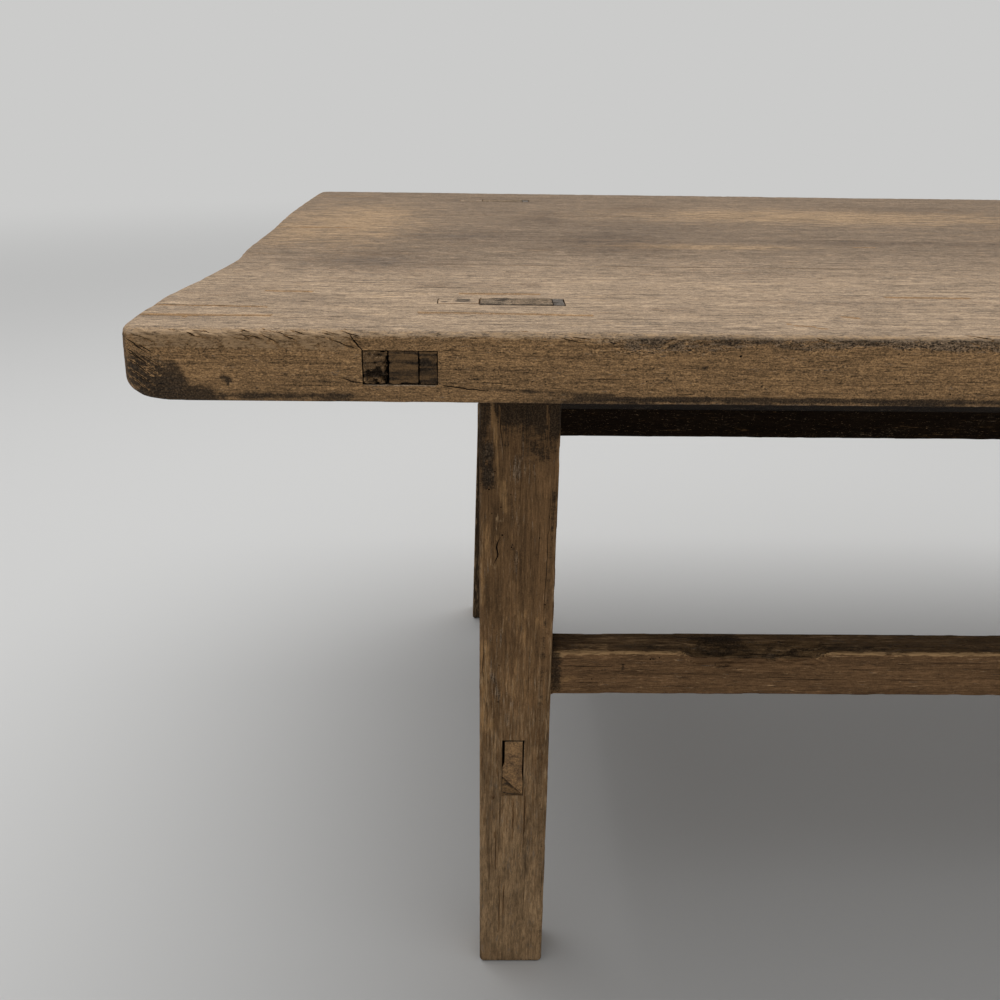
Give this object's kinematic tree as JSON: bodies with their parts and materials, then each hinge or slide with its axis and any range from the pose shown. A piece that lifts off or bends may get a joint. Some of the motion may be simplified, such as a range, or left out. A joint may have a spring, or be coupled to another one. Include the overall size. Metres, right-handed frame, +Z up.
{
  "type": "kang table",
  "caption": "Low rustic elm table: thick plank top with hollowed ends on through-tenoned, slightly leaning legs, tied by stretchers along its length and depth.",
  "frame": {"origin": "on the floor, under the middle of the top", "axes": "+Z up, +X along the length, +Y along the depth; the long edge at -Y is the pictured front"},
  "size_m": [0.9994, 0.581, 0.42],
  "materials": {
    "top_elm": "dry, sun-bleached and grey-stained",
    "leg_elm": "dark, handled, faintly waxed",
    "stretcher_elm": "dark, with worn pale edges",
    "wedge_wood": "dark end grain, cracked"
  },
  "bodies": {
    "root": {"top_board_front": "top_elm", "top_board_middle": "top_elm", "top_board_back": "top_elm", "leg_front_left": "leg_elm", "leg_front_right": "leg_elm", "leg_back_left": "leg_elm", "leg_back_right": "leg_elm", "stretcher_front": "stretcher_elm", "stretcher_back": "stretcher_elm", "side_stretcher_left": "stretcher_elm", "side_stretcher_right": "stretcher_elm", "batten_left": "wedge_wood", "batten_right": "wedge_wood", "batten_wedge_front_left_outer": "wedge_wood", "batten_wedge_front_left_inner": "wedge_wood", "tenon_wedge_front_left": "wedge_wood", "tenon_packing_front_left": "wedge_wood", "side_tenon_wedge_front_left": "wedge_wood", "batten_wedge_front_right_outer": "wedge_wood", "batten_wedge_front_right_inner": "wedge_wood", "tenon_wedge_front_right": "wedge_wood", "tenon_packing_front_right": "wedge_wood", "side_tenon_wedge_front_right": "wedge_wood", "batten_wedge_back_left_outer": "wedge_wood", "batten_wedge_back_left_inner": "wedge_wood", "tenon_wedge_back_left": "wedge_wood", "tenon_packing_back_left": "wedge_wood", "side_tenon_wedge_back_left": "wedge_wood", "batten_wedge_back_right_outer": "wedge_wood", "batten_wedge_back_right_inner": "wedge_wood", "tenon_wedge_back_right": "wedge_wood", "tenon_packing_back_right": "wedge_wood", "side_tenon_wedge_back_right": "wedge_wood"}
  },
  "joints": []
}
